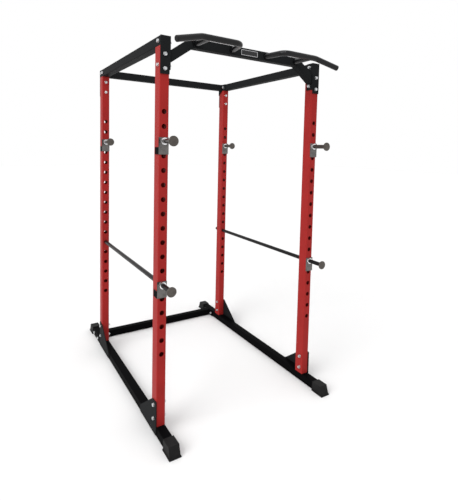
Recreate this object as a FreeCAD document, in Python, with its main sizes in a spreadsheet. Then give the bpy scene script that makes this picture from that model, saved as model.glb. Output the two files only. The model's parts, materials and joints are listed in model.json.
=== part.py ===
import FreeCAD, Part
import Sketcher
import math
import os
import re

# Power cage: four drilled uprights on two base rails, a pull-up bar with grip handles,
# four bar catches and two safety bars. Millimetres, +Z up, floor at Z = 0, front towards -Y.
# The origin is on the floor at the middle of the footprint.

V = FreeCAD.Vector
LEFT, RIGHT = -1, 1
FRONT, REAR = -1, 1
# sine of the largest angle between edges that still count as parallel
PARALLEL = 1e-6
SIDES = (("left", LEFT), ("right", RIGHT))
ENDS = (("front", FRONT), ("rear", REAR))

# Every independent size has one cell in the sheet.
SIZES = {
    # frame
    "post_span_x": 1020.0,      # upright centre to centre, across
    "post_span_y": 1130.0,      # upright centre to centre, front to rear
    "post_length": 2000.0,
    "tube": 50.0,               # outside of every square tube, and width of the uprights
    "post_deep": 70.0,          # uprights, from front to back
    "wall": 2.5,
    "corner": 4.0,              # outside corner radius of the square tubes
    "sole": 5.0,                # rubber under the base rails
    "reach_front": 200.0,       # base rail ahead of the front upright's centre
    "reach_rear": 335.0,        # base rail behind the rear upright's centre
    "cross_back": 165.0,        # base crossmember behind the rear upright's centre
    "plate": 5.0,
    # holes of the uprights
    "rod": 25.0,
    "hole_play": 1.0,           # on the diameter
    "pitch": 75.0,
    "hole_count": 18.0,
    "top_drop": 328.0,          # top of the upright to its highest hole
    "catch_row": 2.0,           # rows below the highest hole
    "safety_row": 12.0,
    # gussets
    "gusset_toe": 30.0,
    "gusset_top": 135.0,        # height above the base rail at the toe
    "gusset_slope": 8.0,
    "gusset_run": 220.0,
    "gusset_heel": 15.0,        # length and height of the cut corner
    "gusset_nose": 12.0,
    "gusset_round": 6.0,
    "gusset_bolt_low": 40.0,    # above the base rail
    "gusset_bolt_gap": 75.0,
    # crossmember end plates
    "end_plate": 150.0,
    "end_bolt": 57.0,
    # brackets at the top of the uprights
    "front_plate_drop": 140.0,  # below the upright's top
    "front_flange_drop": 117.0,
    "bolt_high": 41.0,
    "bolt_low": 113.0,
    "rear_flange": 105.0,       # flange length along the side rail
    "rear_flange_drop": 38.0,
    "rear_bolt_gap": 50.0,      # side rail bolts, the first one over the upright
    # pull-up bar
    "bar_rise": 13.0,           # underside above the upright's top
    "leg_run": 130.0,
    "leg_slope": 36.0,          # degrees below level
    "leg_bolt_drop": 11.5,      # bolt below the leg's lower edge at the flange
    # grip handles
    "grip": 32.0,
    "grip_wall": 2.5,
    "grip_root": 115.0,
    "grip_bend": 144.0,
    "grip_knee": 374.0,
    "grip_tip": 519.0,
    "grip_out": 142.0,          # ahead of the bar's face
    "grip_tip_out": 172.0,
    "grip_level": 25.0,         # above the bar's underside
    "grip_tip_drop": 41.0,
    "grip_round": 45.0,
    "knee_round": 80.0,
    "stub_x": 335.0,
    "weld_gap": 0.1,
    "plug_dome": 7.0,
    "plug_spigot": 18.0,
    "spigot_gap": 0.15,
    # badge
    "badge_wide": 110.0,
    "badge_high": 30.0,
    "badge_thick": 1.0,
    # foot caps
    "cap_wall": 4.0,
    "cap_length": 72.0,
    "cap_slope": 18.0,
    "cap_lip": 8.0,
    "lip_out": 4.0,
    "lip_in": 2.0,
    "lip_step": 1.0,
    "cap_gap": 0.2,
    # bar catches and safety bars
    "saddle_gap": 0.3,
    "saddle_plate": 4.0,
    "saddle_above": 20.0,
    "saddle_below": 68.0,
    "saddle_wing": 37.0,        # height of the side wing
    "wing_wrap": 49.0,
    "collar": 38.0,
    "collar_long": 10.0,
    "disc": 52.0,
    "disc_thick": 8.0,
    "disc_edge": 1.5,
    "disc_out": 128.0,          # disc face ahead of the upright's face
    "peg_past": 3.0,
    "safety_past": 45.0,
    "rod_edge": 1.5,
    # fasteners
    "bolt": 10.0,
    "bolt_play": 1.0,
    "head_flats": 16.0,
    "head_high": 6.4,
    "nut_high": 8.4,
    "washer": 20.0,
    "washer_thick": 2.0,
    "thread_past": 4.0,
    "thread_gap": 0.05,
    # how far a cutting solid runs past the face it opens
    "over": 1.0,
}

# Sizes that follow from the ones above.
RULES = {
    "post_x": "post_span_x / 2",
    "cage_y": "(reach_front - reach_rear) / 2",
    "front_y": "cage_y - post_span_y / 2",
    "rear_y": "cage_y + post_span_y / 2",
    "post_more": "post_deep - tube",
    "top_rear_y": "rear_y + post_more",
    "rail_z": "sole + tube / 2",
    "post_foot": "sole + tube",
    "post_top": "post_foot + post_length",
    "hole": "rod + hole_play",
    "hole_top": "post_top - top_drop",
    "inner_x": "post_x - tube / 2 - plate",
    "outer_x": "post_x + tube / 2",
    "bolt_hole": "bolt + bolt_play",
    "gusset_bolt_top": "gusset_bolt_low + gusset_bolt_gap",
    "bar_low": "post_top + bar_rise",
    "bar_high": "bar_low + tube",
    "leg_start": "inner_x - leg_run",
    "mitre": "tube * tan(leg_slope / 2)",
    "mitre_wall": "wall * tan(leg_slope / 2)",
    "leg_low": "bar_low - leg_run * tan(leg_slope)",
    "leg_rise": "tube / cos(leg_slope)",
    "wall_rise": "wall / cos(leg_slope)",
    "leg_bolt": "leg_low - leg_bolt_drop",
    "bar_face": "front_y - tube / 2",
    "front_face": "front_y - tube / 2",
    "rear_face": "rear_y - tube / 2",
    "grip_z": "bar_low + grip_level",
    "top_rail_z": "post_top + tube / 2",
    "head_radius": "head_flats / sqrt(3)",
}

NAME = re.compile(r"[a-z_]+[a-z]")
doc = FreeCAD.newDocument("power_cage")


def fill_sheet():
    """Put every independent size in the sheet under its own name."""
    sheet = doc.addObject("Spreadsheet::Sheet", "Sizes")
    for row, (name, size) in enumerate(SIZES.items(), start=1):
        sheet.set("A%d" % row, name)
        sheet.set("B%d" % row, str(size))
        sheet.setAlias("B%d" % row, name)
    doc.recompute()
    return sheet


SHEET = fill_sheet()


def full(rule):
    """Write a rule out in terms of the sheet's cells."""
    def swap(match):
        word = match.group(0)
        if word in RULES:
            return "(%s)" % full(RULES[word])
        return "Sizes." + word if word in SIZES else word
    return NAME.sub(swap, rule)


def num(rule):
    """Value of a rule in millimetres or degrees."""
    result = SHEET.evalExpression(full(rule))
    return float(getattr(result, "Value", result))


def bind(thing, path, rule):
    thing.setExpression(path, full(rule))


def place(thing, x="0", y="0", z="0", axis=None, angle=0.0):
    """Tie a position to the sheet; the turn, where there is one, is fixed."""
    if axis is not None:
        thing.Placement = FreeCAD.Placement(V(0, 0, 0), FreeCAD.Rotation(axis, angle))
    for letter, rule in (("x", x), ("y", y), ("z", z)):
        if rule != "0":
            bind(thing, "Placement.Base." + letter, rule)


# ---- sketches and features ----------------------------------------------------------------

def new_body(label):
    body = doc.addObject("PartDesign::Body", label)
    body.Label = label
    return body


def new_sketch(body, name, plane):
    sketch = body.newObject("Sketcher::SketchObject", name)
    origin = next(part for part in body.Origin.OriginFeatures if part.Role == plane + "_Plane")
    sketch.AttachmentSupport = [(origin, "")]
    sketch.MapMode = "FlatFace"
    return sketch


def hold(sketch, kind, geometry, point, rule):
    """Fix one coordinate of a point from the sketch's origin."""
    size = num(rule)
    if abs(size) < 1e-9:
        axis = -2 if kind == "DistanceX" else -1
        sketch.addConstraint(Sketcher.Constraint("PointOnObject", geometry, point, axis))
        return
    if size > 0:
        index = sketch.addConstraint(Sketcher.Constraint(kind, -1, 1, geometry, point, size))
        sketch.setExpression("Constraints[%d]" % index, full(rule))
        return
    index = sketch.addConstraint(Sketcher.Constraint(kind, geometry, point, -1, 1, -size))
    sketch.setExpression("Constraints[%d]" % index, "-(%s)" % full(rule))


def polygon(sketch, corners):
    """Closed outline whose corners are all tied to the sheet."""
    start = sketch.GeometryCount
    spots = [V(num(a), num(b), 0) for a, b in corners]
    for i, spot in enumerate(spots):
        sketch.addGeometry(Part.LineSegment(spot, spots[(i + 1) % len(spots)]))
    for i in range(len(spots)):
        follower = start + (i + 1) % len(spots)
        sketch.addConstraint(Sketcher.Constraint("Coincident", start + i, 2, follower, 1))
    for i, (a, b) in enumerate(corners):
        hold(sketch, "DistanceX", start + i, 1, a)
        hold(sketch, "DistanceY", start + i, 1, b)


def circle(sketch, diameter, a="0", b="0"):
    index = sketch.addGeometry(Part.Circle(V(num(a), num(b), 0), V(0, 0, 1), num(diameter) / 2))
    mark = sketch.addConstraint(Sketcher.Constraint("Diameter", index, num(diameter)))
    sketch.setExpression("Constraints[%d]" % mark, full(diameter))
    hold(sketch, "DistanceX", index, 3, a)
    hold(sketch, "DistanceY", index, 3, b)


def round_square(sketch, half, radius, more="0"):
    """Square with rounded corners, centred on the sketch's origin and drawn out upwards by more."""
    first = sketch.GeometryCount
    h = num(half)
    r = num(radius)

    def lifted(point):
        return point + V(0, num(more), 0) if point.y > 0 else point

    for turn in range(4):
        spin = FreeCAD.Rotation(V(0, 0, 1), 90 * turn)
        line = Part.LineSegment(lifted(spin.multVec(V(r - h, -h, 0))), lifted(spin.multVec(V(h - r, -h, 0))))
        centre = lifted(spin.multVec(V(h - r, r - h, 0)))
        ring = Part.Circle(centre, V(0, 0, 1), r)
        arc = Part.ArcOfCircle(ring, (turn - 1) * math.pi / 2, turn * math.pi / 2)
        sketch.addGeometry(line)
        sketch.addGeometry(arc)
    for i in range(0, 8, 2):
        level = "Horizontal" if i % 4 == 0 else "Vertical"
        sketch.addConstraint(Sketcher.Constraint(level, first + i))
        sketch.addConstraint(Sketcher.Constraint("Tangent", first + i, 2, first + i + 1, 1))
        sketch.addConstraint(Sketcher.Constraint("Tangent", first + i + 1, 2, first + (i + 2) % 8, 1))
    for i in (3, 5, 7):
        sketch.addConstraint(Sketcher.Constraint("Equal", first + 1, first + i))
    mark = sketch.addConstraint(Sketcher.Constraint("Radius", first + 1, r))
    sketch.setExpression("Constraints[%d]" % mark, full(radius))
    hold(sketch, "DistanceY", first, 1, "-(%s)" % half)
    hold(sketch, "DistanceX", first + 2, 1, half)
    hold(sketch, "DistanceY", first + 4, 1, "%s + %s" % (half, more))
    hold(sketch, "DistanceX", first + 6, 1, "-(%s)" % half)


def pad(body, sketch, length, both=False, back=False):
    feature = body.newObject("PartDesign::Pad", sketch.Name + "_pad")
    feature.Profile = sketch
    feature.SideType = "Symmetric" if both else "One side"
    feature.Reversed = back
    bind(feature, "Length", length)
    body.Tip = feature
    return feature


def pocket(body, sketch, length, both=True, back=False):
    feature = body.newObject("PartDesign::Pocket", sketch.Name + "_cut")
    feature.Profile = sketch
    feature.SideType = "Symmetric" if both else "One side"
    feature.Reversed = back
    bind(feature, "Length", length)
    body.Tip = feature
    return feature


def drill(body, name, plane, spots, through):
    """Bolt holes right through, at the given sketch points."""
    sketch = new_sketch(body, name, plane)
    for a, b in spots:
        circle(sketch, "bolt_hole", a, b)
    pocket(body, sketch, through)


def square_tube(label, plane, length, both=False, back=False, more="0"):
    body = new_body(label)
    sketch = new_sketch(body, label + "_section", plane)
    round_square(sketch, "tube / 2", "corner", more)
    round_square(sketch, "tube / 2 - wall", "corner - wall", more)
    pad(body, sketch, length, both, back)
    return body


# ---- frame --------------------------------------------------------------------------------

def upright(end, side):
    body = square_tube("upright_%s_%s" % (end[0], side[0]), "XY", "post_length", more="post_more")
    row = new_sketch(body, body.Label + "_hole", "XZ")
    circle(row, "hole", "0", "post_length - top_drop")
    hole = pocket(body, row, "2 * post_deep + 2 * over")
    rows = body.newObject("PartDesign::LinearPattern", body.Label + "_rows")
    rows.Originals = [hole]
    rows.Direction = (row, ["V_Axis"])
    rows.Reversed = True
    bind(rows, "Length", "pitch * (hole_count - 1)")
    bind(rows, "Occurrences", "hole_count")
    body.Tip = rows
    drill(body, body.Label + "_face_bolts", "XZ",
          [("0", "post_length - bolt_high"), ("0", "post_length - bolt_low")], "2 * post_deep + 2 * over")
    across = [("0", "gusset_bolt_low"), ("0", "gusset_bolt_top")]
    if end[1] == FRONT:
        across.append(("0", "leg_bolt - post_foot"))
    drill(body, body.Label + "_side_bolts", "YZ", across, "tube + 2 * over")
    place(body, "%d * post_x" % side[1], "front_y" if end[1] == FRONT else "rear_y", "post_foot")
    return body


def base_rail(side):
    body = square_tube("base_rail_" + side[0], "XZ", "reach_front + post_span_y + reach_rear")
    middle = "cross_back - reach_rear"
    drill(body, body.Label + "_bolts", "YZ",
          [(middle + " - end_bolt", "0"), (middle + " + end_bolt", "0")], "tube + 2 * over")
    place(body, "%d * post_x" % side[1], "rear_y + reach_rear", "rail_z")
    return body


def top_rail(side):
    body = square_tube("top_rail_" + side[0], "XZ", "post_span_y + post_deep")
    spots = [("-tube / 2", "0"), ("-tube / 2 - rear_bolt_gap", "0"), ("tube / 2 - post_deep - post_span_y", "0")]
    drill(body, body.Label + "_bolts", "YZ", spots, "tube + 2 * over")
    place(body, "%d * post_x" % side[1], "top_rear_y + tube / 2", "top_rail_z")
    return body


def base_crossmember():
    body = square_tube("base_crossmember", "YZ", "2 * inner_x", both=True)
    place(body, "0", "rear_y + cross_back", "rail_z")
    return body


def top_crossmember():
    body = square_tube("top_crossmember", "YZ", "2 * inner_x", both=True)
    place(body, "0", "top_rear_y", "top_rail_z")
    return body


def crossmember_plates():
    """Drilled plates at the two ends of the base crossmember."""
    pair = []
    for name, side in SIDES:
        slab = doc.addObject("Part::Box", "end_slab_" + name)
        bind(slab, "Length", "plate")
        bind(slab, "Width", "end_plate")
        bind(slab, "Height", "tube")
        place(slab, "inner_x" if side == RIGHT else "-inner_x - plate",
              "rear_y + cross_back - end_plate / 2", "sole")
        tools = []
        for sign in (-1, 1):
            bore = doc.addObject("Part::Cylinder", "end_bore_%s_%d" % (name, sign + 1))
            bind(bore, "Radius", "bolt_hole / 2")
            bind(bore, "Height", "plate + 2 * over")
            place(bore, ("inner_x - over" if side == RIGHT else "-inner_x - plate - over"),
                  "rear_y + cross_back + %d * end_bolt" % sign, "rail_z", V(0, 1, 0), 90)
            tools.append(bore)
        pair.append(cut_away("end_plate_" + name, slab, tools))
    return group("crossmember_plates", pair)


def gusset(end, side):
    body = new_body("gusset_%s_%s" % (end[0], side[0]))
    sketch = new_sketch(body, body.Label + "_outline", "YZ")
    # distances inwards from the upright's centre and up from the base rail's top
    outline = [("-gusset_toe", "cap_lip - tube"), ("-gusset_toe", "gusset_top + gusset_slope"),
               ("gusset_toe", "gusset_top"), ("gusset_run - gusset_heel", "sole"), ("gusset_run", "sole - gusset_nose"),
               ("gusset_run", "cap_lip - tube")]
    if end[1] == REAR:
        outline = [("-(%s)" % a, b) for a, b in reversed(outline)]
    polygon(sketch, outline)
    plate = pad(body, sketch, "plate")
    soften(body, plate, V(1, 0, 0), "gusset_round")
    drill(body, body.Label + "_bolts", "YZ", [("0", "gusset_bolt_low"), ("0", "gusset_bolt_top")],
          "2 * plate + 2 * over")
    place(body, "outer_x" if side[1] == RIGHT else "-outer_x - plate",
          "front_y" if end[1] == FRONT else "rear_y", "post_foot")
    return body


def soften(body, feature, direction, radius):
    """Round every straight edge that runs along the direction."""
    doc.recompute()
    names = []
    for i, edge in enumerate(feature.Shape.Edges, start=1):
        if edge.Curve.TypeId != "Part::GeomLine":
            continue
        if edge.tangentAt(edge.FirstParameter).cross(direction).Length < PARALLEL:
            names.append("Edge%d" % i)
    fillet = body.newObject("PartDesign::Fillet", feature.Name + "_round")
    fillet.Base = (feature, names)
    bind(fillet, "Radius", radius)
    body.Tip = fillet
    return fillet


def foot_cap(end, side):
    """Rubber boot over a rail end; Y runs inwards from the rail's end face."""
    body = new_body("foot_cap_%s_%s" % (end[0], side[0]))
    boot = new_sketch(body, body.Label + "_boot", "YZ")
    top = "sole + tube + cap_gap + cap_wall"
    profile = [("cap_length - cap_wall", "0"), ("cap_length - cap_wall", top),
               ("-cap_wall", top), ("-cap_wall - cap_slope", "cap_lip"), ("-cap_wall - cap_slope", "0")]
    lip = [("cap_length - cap_wall + lip_in", "0"), ("cap_length - cap_wall + lip_in", "cap_lip"),
           ("-cap_wall - cap_slope - lip_out", "cap_lip"), ("-cap_wall - cap_slope - lip_out", "0")]
    hollow = [("0", "sole"), ("0", "sole + tube + cap_gap"),
              ("cap_length", "sole + tube + cap_gap"), ("cap_length", "sole")]
    if end[1] == REAR:
        lines = (profile, lip, hollow)
        profile, lip, hollow = [[("-(%s)" % a, b) for a, b in reversed(line)] for line in lines]
    polygon(boot, profile)
    pad(body, boot, "tube + 2 * cap_gap + 2 * cap_wall", both=True)
    skirt = new_sketch(body, body.Label + "_lip", "YZ")
    polygon(skirt, lip)
    pad(body, skirt, "tube + 2 * cap_gap + 2 * cap_wall + 2 * lip_out - lip_step", both=True)
    inside = new_sketch(body, body.Label + "_hollow", "YZ")
    polygon(inside, hollow)
    pocket(body, inside, "tube + 2 * cap_gap")
    place(body, "%d * post_x" % side[1],
          "front_y - reach_front" if end[1] == FRONT else "rear_y + reach_rear", "0")
    return body


def bracket(label, side, facing, flange, foot, bolts):
    """Plate on the upright's outer face with a flange on its inner side, down to the foot."""
    body = new_body(label)
    face = new_sketch(body, label + "_face", "XZ")
    wide = "%d * (tube / 2 + plate)" % -side
    inner = "%d * tube / 2" % -side
    outer = "%d * tube / 2" % side
    corners = [(inner, "-front_plate_drop"), (outer, "-front_plate_drop"), (outer, "tube"), (wide, "tube"),
               (wide, foot), (inner, foot)]
    polygon(face, corners if side == RIGHT else corners[::-1])
    # the sketch looks forwards, so a front plate is padded ahead and a rear one behind
    pad(body, face, "plate", back=(facing == REAR))
    wing = new_sketch(body, label + "_flange", "YZ")
    polygon(wing, flange)
    # the flange is on the side of the upright that faces into the cage
    bind(wing, "AttachmentOffset.Base.z", "tube / 2" if side == LEFT else "-tube / 2 - plate")
    pad(body, wing, "plate")
    drill(body, label + "_face_bolts", "XZ", [("0", "-bolt_high"), ("0", "-bolt_low")], "4 * plate")
    drill_flange(body, label + "_side_bolts", bolts)
    face_y = "front_y - tube / 2" if facing == FRONT else "top_rear_y + tube / 2"
    place(body, "%d * post_x" % side, face_y, "post_top")
    return body


def drill_flange(body, name, bolts):
    sketch = new_sketch(body, name, "YZ")
    for a, b in bolts:
        circle(sketch, "bolt_hole", a, b)
    pocket(body, sketch, "2 * tube + 4 * plate")


def front_bracket(side):
    flange = [("-plate", "-front_flange_drop"), ("tube", "-front_flange_drop"),
              ("tube", "tube"), ("-plate", "tube")]
    bolts = [("tube / 2", "tube / 2"), ("tube / 2", "leg_bolt - post_top")]
    return bracket("bar_bracket_" + side[0], side[1], FRONT, flange, "-front_flange_drop", bolts)


def rear_bracket(side):
    flange = [("plate", "-rear_flange_drop"), ("plate", "tube"), ("-rear_flange", "tube"),
              ("-rear_flange", "plate"), ("-tube", "0")]
    bolts = [("-tube / 2", "tube / 2"), ("-tube / 2 - rear_bolt_gap", "tube / 2")]
    return bracket("rear_bracket_" + side[0], side[1], REAR, flange, "-rear_flange_drop", bolts)


# ---- pull-up bar --------------------------------------------------------------------------

def hollow_outline(label, outer, inner, heading):
    """Tube seen from the front: the outline is padded across Y and the bore is cut out of it.

    The corners that run along the heading are rounded like those of the other tubes.
    """
    body = new_body(label)
    shell = new_sketch(body, label + "_shell", "XZ")
    polygon(shell, outer)
    solid = pad(body, shell, "tube", both=True)
    soften(body, solid, heading, "corner")
    bore = new_sketch(body, label + "_bore", "XZ")
    polygon(bore, inner)
    pocket(body, bore, "tube - 2 * wall")
    place(body, "0", "front_y", "0")
    return body


def pull_up_bar():
    low = "leg_start"
    high = "leg_start + mitre"
    outer = [("-(%s)" % low, "bar_low"), (low, "bar_low"), (high, "bar_high"), ("-(%s)" % high, "bar_high")]
    a = "leg_start + mitre_wall"
    b = "leg_start + mitre - mitre_wall"
    inner = [("-(%s)" % a, "bar_low + wall"), (a, "bar_low + wall"),
             (b, "bar_high - wall"), ("-(%s)" % b, "bar_high - wall")]
    return hollow_outline("pull_up_bar", outer, inner, V(1, 0, 0))


def pull_up_leg(side):
    outer = [("leg_start", "bar_low"), ("inner_x", "leg_low"), ("inner_x", "leg_low + leg_rise"),
             ("leg_start + mitre", "bar_high")]
    inner = [("leg_start + mitre_wall", "bar_low + wall"), ("inner_x", "leg_low + wall_rise"),
             ("inner_x", "leg_low + leg_rise - wall_rise"), ("leg_start + mitre - mitre_wall", "bar_high - wall")]
    if side[1] == LEFT:
        outer = [("-(%s)" % a, b) for a, b in reversed(outer)]
        inner = [("-(%s)" % a, b) for a, b in reversed(inner)]
    slope = math.radians(num("leg_slope"))
    along = V(side[1] * math.cos(slope), 0, -math.sin(slope))
    return hollow_outline("pull_up_leg_" + side[0], outer, inner, along)


def grip_path(side):
    """Centre line of a grip: out from the bar, along it, then out and down to the free end."""
    face = num("bar_face")
    level = num("grip_z")
    root = V(side * num("grip_root"), face, level)
    bend = V(side * num("grip_bend"), face - num("grip_out"), level)
    knee = V(side * num("grip_knee"), face - num("grip_out"), level)
    tip = V(side * num("grip_tip"), face - num("grip_tip_out"), level - num("grip_tip_drop"))
    behind = root + (root - bend).normalize() * num("grip") / 2
    return [behind, bend, knee, tip]


def bent_wire(points, radii):
    """Straight runs joined by tangent arcs at the inner points."""
    edges = []
    start = points[0]
    for before, corner, after, radius in zip(points, points[1:], points[2:], radii):
        inward = (before - corner).normalize()
        onward = (after - corner).normalize()
        half = inward.getAngle(onward) / 2
        reach = radius / math.tan(half)
        enter = corner + inward * reach
        leave = corner + onward * reach
        middle = corner + (inward + onward).normalize() * (reach * reach + radius * radius) ** 0.5
        on_arc = middle + (corner - middle).normalize() * radius
        edges.append(Part.makeLine(start, enter))
        edges.append(Part.Arc(enter, on_arc, leave).toShape())
        start = leave
    edges.append(Part.makeLine(start, points[-1]))
    return Part.Wire(edges)


def swept(path, radius):
    start = path.OrderedVertexes[0].Point
    heading = path.OrderedEdges[0].tangentAt(path.OrderedEdges[0].FirstParameter)
    ring = Part.Wire(Part.makeCircle(radius, start, heading))
    return path.makePipeShell([ring], True, True)


def half_space(face):
    """Block that fills everything behind the bar's front face."""
    reach = num("post_span_x")
    return Part.makeBox(2 * reach, reach, 2 * reach, V(-reach, face, num("post_top") - reach))


def grip_handle(side):
    path = bent_wire(grip_path(side[1]), [num("grip_round"), num("knee_round")])
    tube = swept(path, num("grip / 2")).cut(swept(path, num("grip / 2 - grip_wall")))
    handle = doc.addObject("Part::Feature", "grip_handle_" + side[0])
    handle.Label = "grip_handle_" + side[0]
    handle.Shape = tube.cut(half_space(num("bar_face")))
    return handle


def handle_stubs():
    """Short tubes from the bar to the grips, each end cut to the grip's round side."""
    stubs = []
    for name, side in SIDES:
        tools = []
        rod = doc.addObject("Part::Cylinder", "stub_rod_" + name)
        bind(rod, "Radius", "grip / 2")
        bind(rod, "Height", "grip_out")
        place(rod, "%d * stub_x" % side, "bar_face", "grip_z", V(1, 0, 0), 90)
        bore = doc.addObject("Part::Cylinder", "stub_bore_" + name)
        bind(bore, "Radius", "grip / 2 - grip_wall")
        bind(bore, "Height", "grip_out")
        place(bore, "%d * stub_x" % side, "bar_face", "grip_z", V(1, 0, 0), 90)
        rail = doc.addObject("Part::Cylinder", "stub_notch_" + name)
        bind(rail, "Radius", "grip / 2 + weld_gap")
        bind(rail, "Height", "4 * grip")
        place(rail, "%d * stub_x - 2 * grip" % side, "bar_face - grip_out", "grip_z", V(0, 1, 0), 90)
        stubs.append(cut_away("stub_" + name, rod, [bore, rail]))
    return group("handle_stubs", stubs)


def handle_plugs():
    """Domed plugs in the free ends of the grips."""
    plugs = []
    for name, side in SIDES:
        path = grip_path(side)
        out = (path[3] - path[2]).normalize()
        radius = num("grip / 2")
        dome = num("plug_dome")
        flange = Part.makeCylinder(radius, dome, path[3], out)
        rim = [edge for edge in flange.Edges if (edge.CenterOfMass - path[3] - out * dome).Length < 0.1]
        flange = flange.makeFillet(dome * 0.8, rim)
        depth = num("plug_spigot")
        spigot_radius = num("grip / 2 - grip_wall - spigot_gap")
        spigot = Part.makeCylinder(spigot_radius, depth + num("over"), path[3] - out * depth, out)
        plugs.append(flange.fuse(spigot).removeSplitter())
    both = doc.addObject("Part::Feature", "handle_plugs")
    both.Label = "handle_plugs"
    both.Shape = Part.makeCompound(plugs)
    return both


def blank_badge():
    badge = doc.addObject("Part::Box", "blank_badge")
    badge.Label = "blank_badge"
    bind(badge, "Length", "badge_wide")
    bind(badge, "Width", "badge_thick")
    bind(badge, "Height", "badge_high")
    place(badge, "-badge_wide / 2", "bar_face - badge_thick", "bar_low + (tube - badge_high) / 2")
    return badge


# ---- bar catches and safety bars ----------------------------------------------------------

def round_bar(label, length, x, face, z):
    """Rod lying along Y from behind the disc; its free end is chamfered."""
    body = new_body(label)
    sketch = new_sketch(body, label + "_section", "XZ")
    circle(sketch, "rod")
    bar = pad(body, sketch, length, back=True)
    chamfer_ends(body, bar, "rod_edge", 1)
    place(body, x, "%s - disc_out + disc_thick" % face, z)
    return body


def chamfer_ends(body, feature, size, which):
    """Chamfer the rim at the far end (1), the near end (-1) or both (0) along Y."""
    doc.recompute()
    box = feature.Shape.BoundBox
    names = []
    for i, edge in enumerate(feature.Shape.Edges, start=1):
        far = abs(edge.CenterOfMass.y - box.YMax) < 1e-6
        near = abs(edge.CenterOfMass.y - box.YMin) < 1e-6
        if (far and which >= 0) or (near and which <= 0):
            names.append("Edge%d" % i)
    edge_cut = body.newObject("PartDesign::Chamfer", feature.Name + "_edge")
    edge_cut.Base = (feature, names)
    bind(edge_cut, "Size", size)
    body.Tip = edge_cut


def end_disc(label, x, face, z):
    body = new_body(label)
    sketch = new_sketch(body, label + "_section", "XZ")
    circle(sketch, "disc")
    plate = pad(body, sketch, "disc_thick", back=True)
    chamfer_ends(body, plate, "disc_edge", 0)
    place(body, x, "%s - disc_out" % face, z)
    return body


def saddle(label, side, x, face, z):
    """Plate against the upright with a wing along its outer side and a collar round the rod."""
    body = new_body(label)
    inner = "%d * tube / 2" % -side
    near = "%d * (tube / 2 + saddle_gap)" % side
    far = "%d * (tube / 2 + saddle_gap + saddle_plate)" % side
    front = new_sketch(body, label + "_plate", "XZ")
    outline = [(inner, "-saddle_below"), (far, "-saddle_below"),
               (far, "saddle_above"), (inner, "saddle_above")]
    polygon(front, outline if side == RIGHT else outline[::-1])
    pad(body, front, "saddle_plate")
    wing = new_sketch(body, label + "_wing", "XZ")
    outline = [(near, "-saddle_below"), (far, "-saddle_below"), (far, "saddle_wing - saddle_below"),
               (near, "saddle_wing - saddle_below")]
    polygon(wing, outline if side == RIGHT else outline[::-1])
    pad(body, wing, "wing_wrap + saddle_gap", back=True)
    ring = new_sketch(body, label + "_collar", "XZ")
    circle(ring, "collar")
    pad(body, ring, "saddle_plate + collar_long")
    bore = new_sketch(body, label + "_bore", "XZ")
    circle(bore, "rod + 2 * weld_gap")
    pocket(body, bore, "4 * saddle_plate + 2 * collar_long + 4 * over")
    place(body, x, "%s - saddle_gap" % face, z)
    return body


def bar_catch(end, side):
    name = "catch_%s_%s" % (end[0], side[0])
    face = "front_face" if end[1] == FRONT else "rear_face"
    spot = ("%d * post_x" % side[1], face, "hole_top - catch_row * pitch")
    peg = round_bar(name + "_peg", "disc_out - disc_thick + post_deep + peg_past", *spot)
    return [peg, saddle(name + "_saddle", side[1], *spot), end_disc(name + "_disc", *spot)]


def safety_bar(side):
    name = "safety_" + side[0]
    spot = ("%d * post_x" % side[1], "front_face", "hole_top - safety_row * pitch")
    rod = round_bar(name + "_rod", "disc_out - disc_thick + post_deep + post_span_y + safety_past", *spot)
    return [rod, saddle(name + "_saddle", side[1], *spot), end_disc(name + "_disc", *spot)]


# ---- fasteners ----------------------------------------------------------------------------

TURN = {"+X": (V(0, 1, 0), 90), "-X": (V(0, 1, 0), -90), "+Y": (V(1, 0, 0), -90), "-Y": (V(1, 0, 0), 90)}


def group(label, members):
    both = doc.addObject("Part::Compound", label)
    both.Label = label
    both.Links = members
    return both


def cut_away(name, base, tools):
    result = base
    for i, tool in enumerate(tools):
        step = doc.addObject("Part::Cut", "%s_%d" % (name, i))
        step.Base = result
        step.Tool = tool
        result = step
    return result


def along(direction, spot, distance):
    """Spot moved along an axis direction such as '-X' by a rule."""
    moved = dict(zip("XYZ", spot))
    moved[direction[1]] = "%s %s (%s)" % (moved[direction[1]], direction[0], distance)
    return moved["X"], moved["Y"], moved["Z"]


def disc_part(kind, name, radius, height, direction, spot):
    thing = doc.addObject(kind, name)
    if kind == "Part::Prism":
        thing.Polygon = 6
        bind(thing, "Circumradius", radius)
    else:
        bind(thing, "Radius", radius)
    bind(thing, "Height", height)
    axis, angle = TURN[direction]
    place(thing, *spot, axis=axis, angle=angle)
    return thing


def ring_part(kind, name, radius, height, bore, direction, spot):
    body = disc_part(kind, name, radius, height, direction, spot)
    hole = disc_part("Part::Cylinder", name + "_bore", bore, "%s + 2 * over" % height, direction,
                     along(flip(direction), spot, "1"))
    return cut_away(name + "_cut", body, [hole])


def flip(direction):
    return ("-" if direction[0] == "+" else "+") + direction[1]


def joint(name, spot, direction, grip):
    """Bolt with nut and two washers; the direction runs from the head's face to the nut."""
    back = flip(direction)
    seat = along(back, spot, "washer_thick")
    head = disc_part("Part::Prism", name + "_head", "head_radius", "head_high", back, seat)
    shank = disc_part("Part::Cylinder", name + "_shank", "bolt / 2",
                      "%s + 2 * washer_thick + nut_high + thread_past" % grip, direction, seat)
    bolt = doc.addObject("Part::Fuse", name + "_bolt")
    bolt.Base = head
    bolt.Tool = shank
    far = along(direction, spot, grip)
    tight = "bolt / 2 + thread_gap"
    loose = "bolt_hole / 2"
    near_ring = ring_part("Part::Cylinder", name + "_ring_a", "washer / 2", "washer_thick", loose, back, spot)
    far_ring = ring_part("Part::Cylinder", name + "_ring_b", "washer / 2", "washer_thick", loose, direction, far)
    nut = ring_part("Part::Prism", name + "_nut", "head_radius", "nut_high", tight, direction,
                    along(direction, far, "washer_thick"))
    return bolt, nut, [near_ring, far_ring]


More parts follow.
